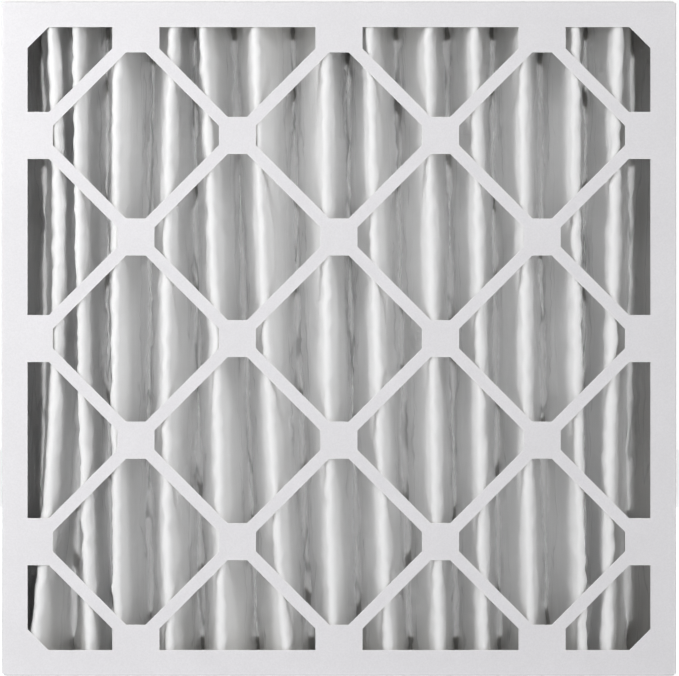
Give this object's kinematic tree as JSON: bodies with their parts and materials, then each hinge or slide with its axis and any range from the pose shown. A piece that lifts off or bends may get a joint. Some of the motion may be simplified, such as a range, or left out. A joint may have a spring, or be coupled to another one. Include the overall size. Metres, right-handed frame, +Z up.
{
  "type": "pleated panel air filter",
  "caption": "Square deep-pleated panel air filter: nonwoven pleat pack glued into two nested folded board trays with a die-cut diamond lattice on both faces.",
  "frame": {"origin": "middle of the bottom wall's underside, where the filter stands", "axes": "+X to the right seen from the front, +Y from the front face to the back, +Z up"},
  "size_m": [0.4952, 0.0952, 0.4953],
  "materials": {
    "coated_board": "white clay-coated beverage board, matt with a faint lavender cast",
    "nonwoven": "off-white cotton and polyester nonwoven, soft and slightly fuzzy",
    "adhesive": "dried off-white adhesive"
  },
  "bodies": {
    "root": {"front_frame": "coated_board", "rear_frame": "coated_board", "pleated_media": "nonwoven", "front_strap_glue": "adhesive", "rear_strap_glue": "adhesive", "bottom_end_seal": "adhesive", "top_end_seal": "adhesive", "left_side_bead": "adhesive", "right_side_bead": "adhesive"}
  },
  "joints": []
}
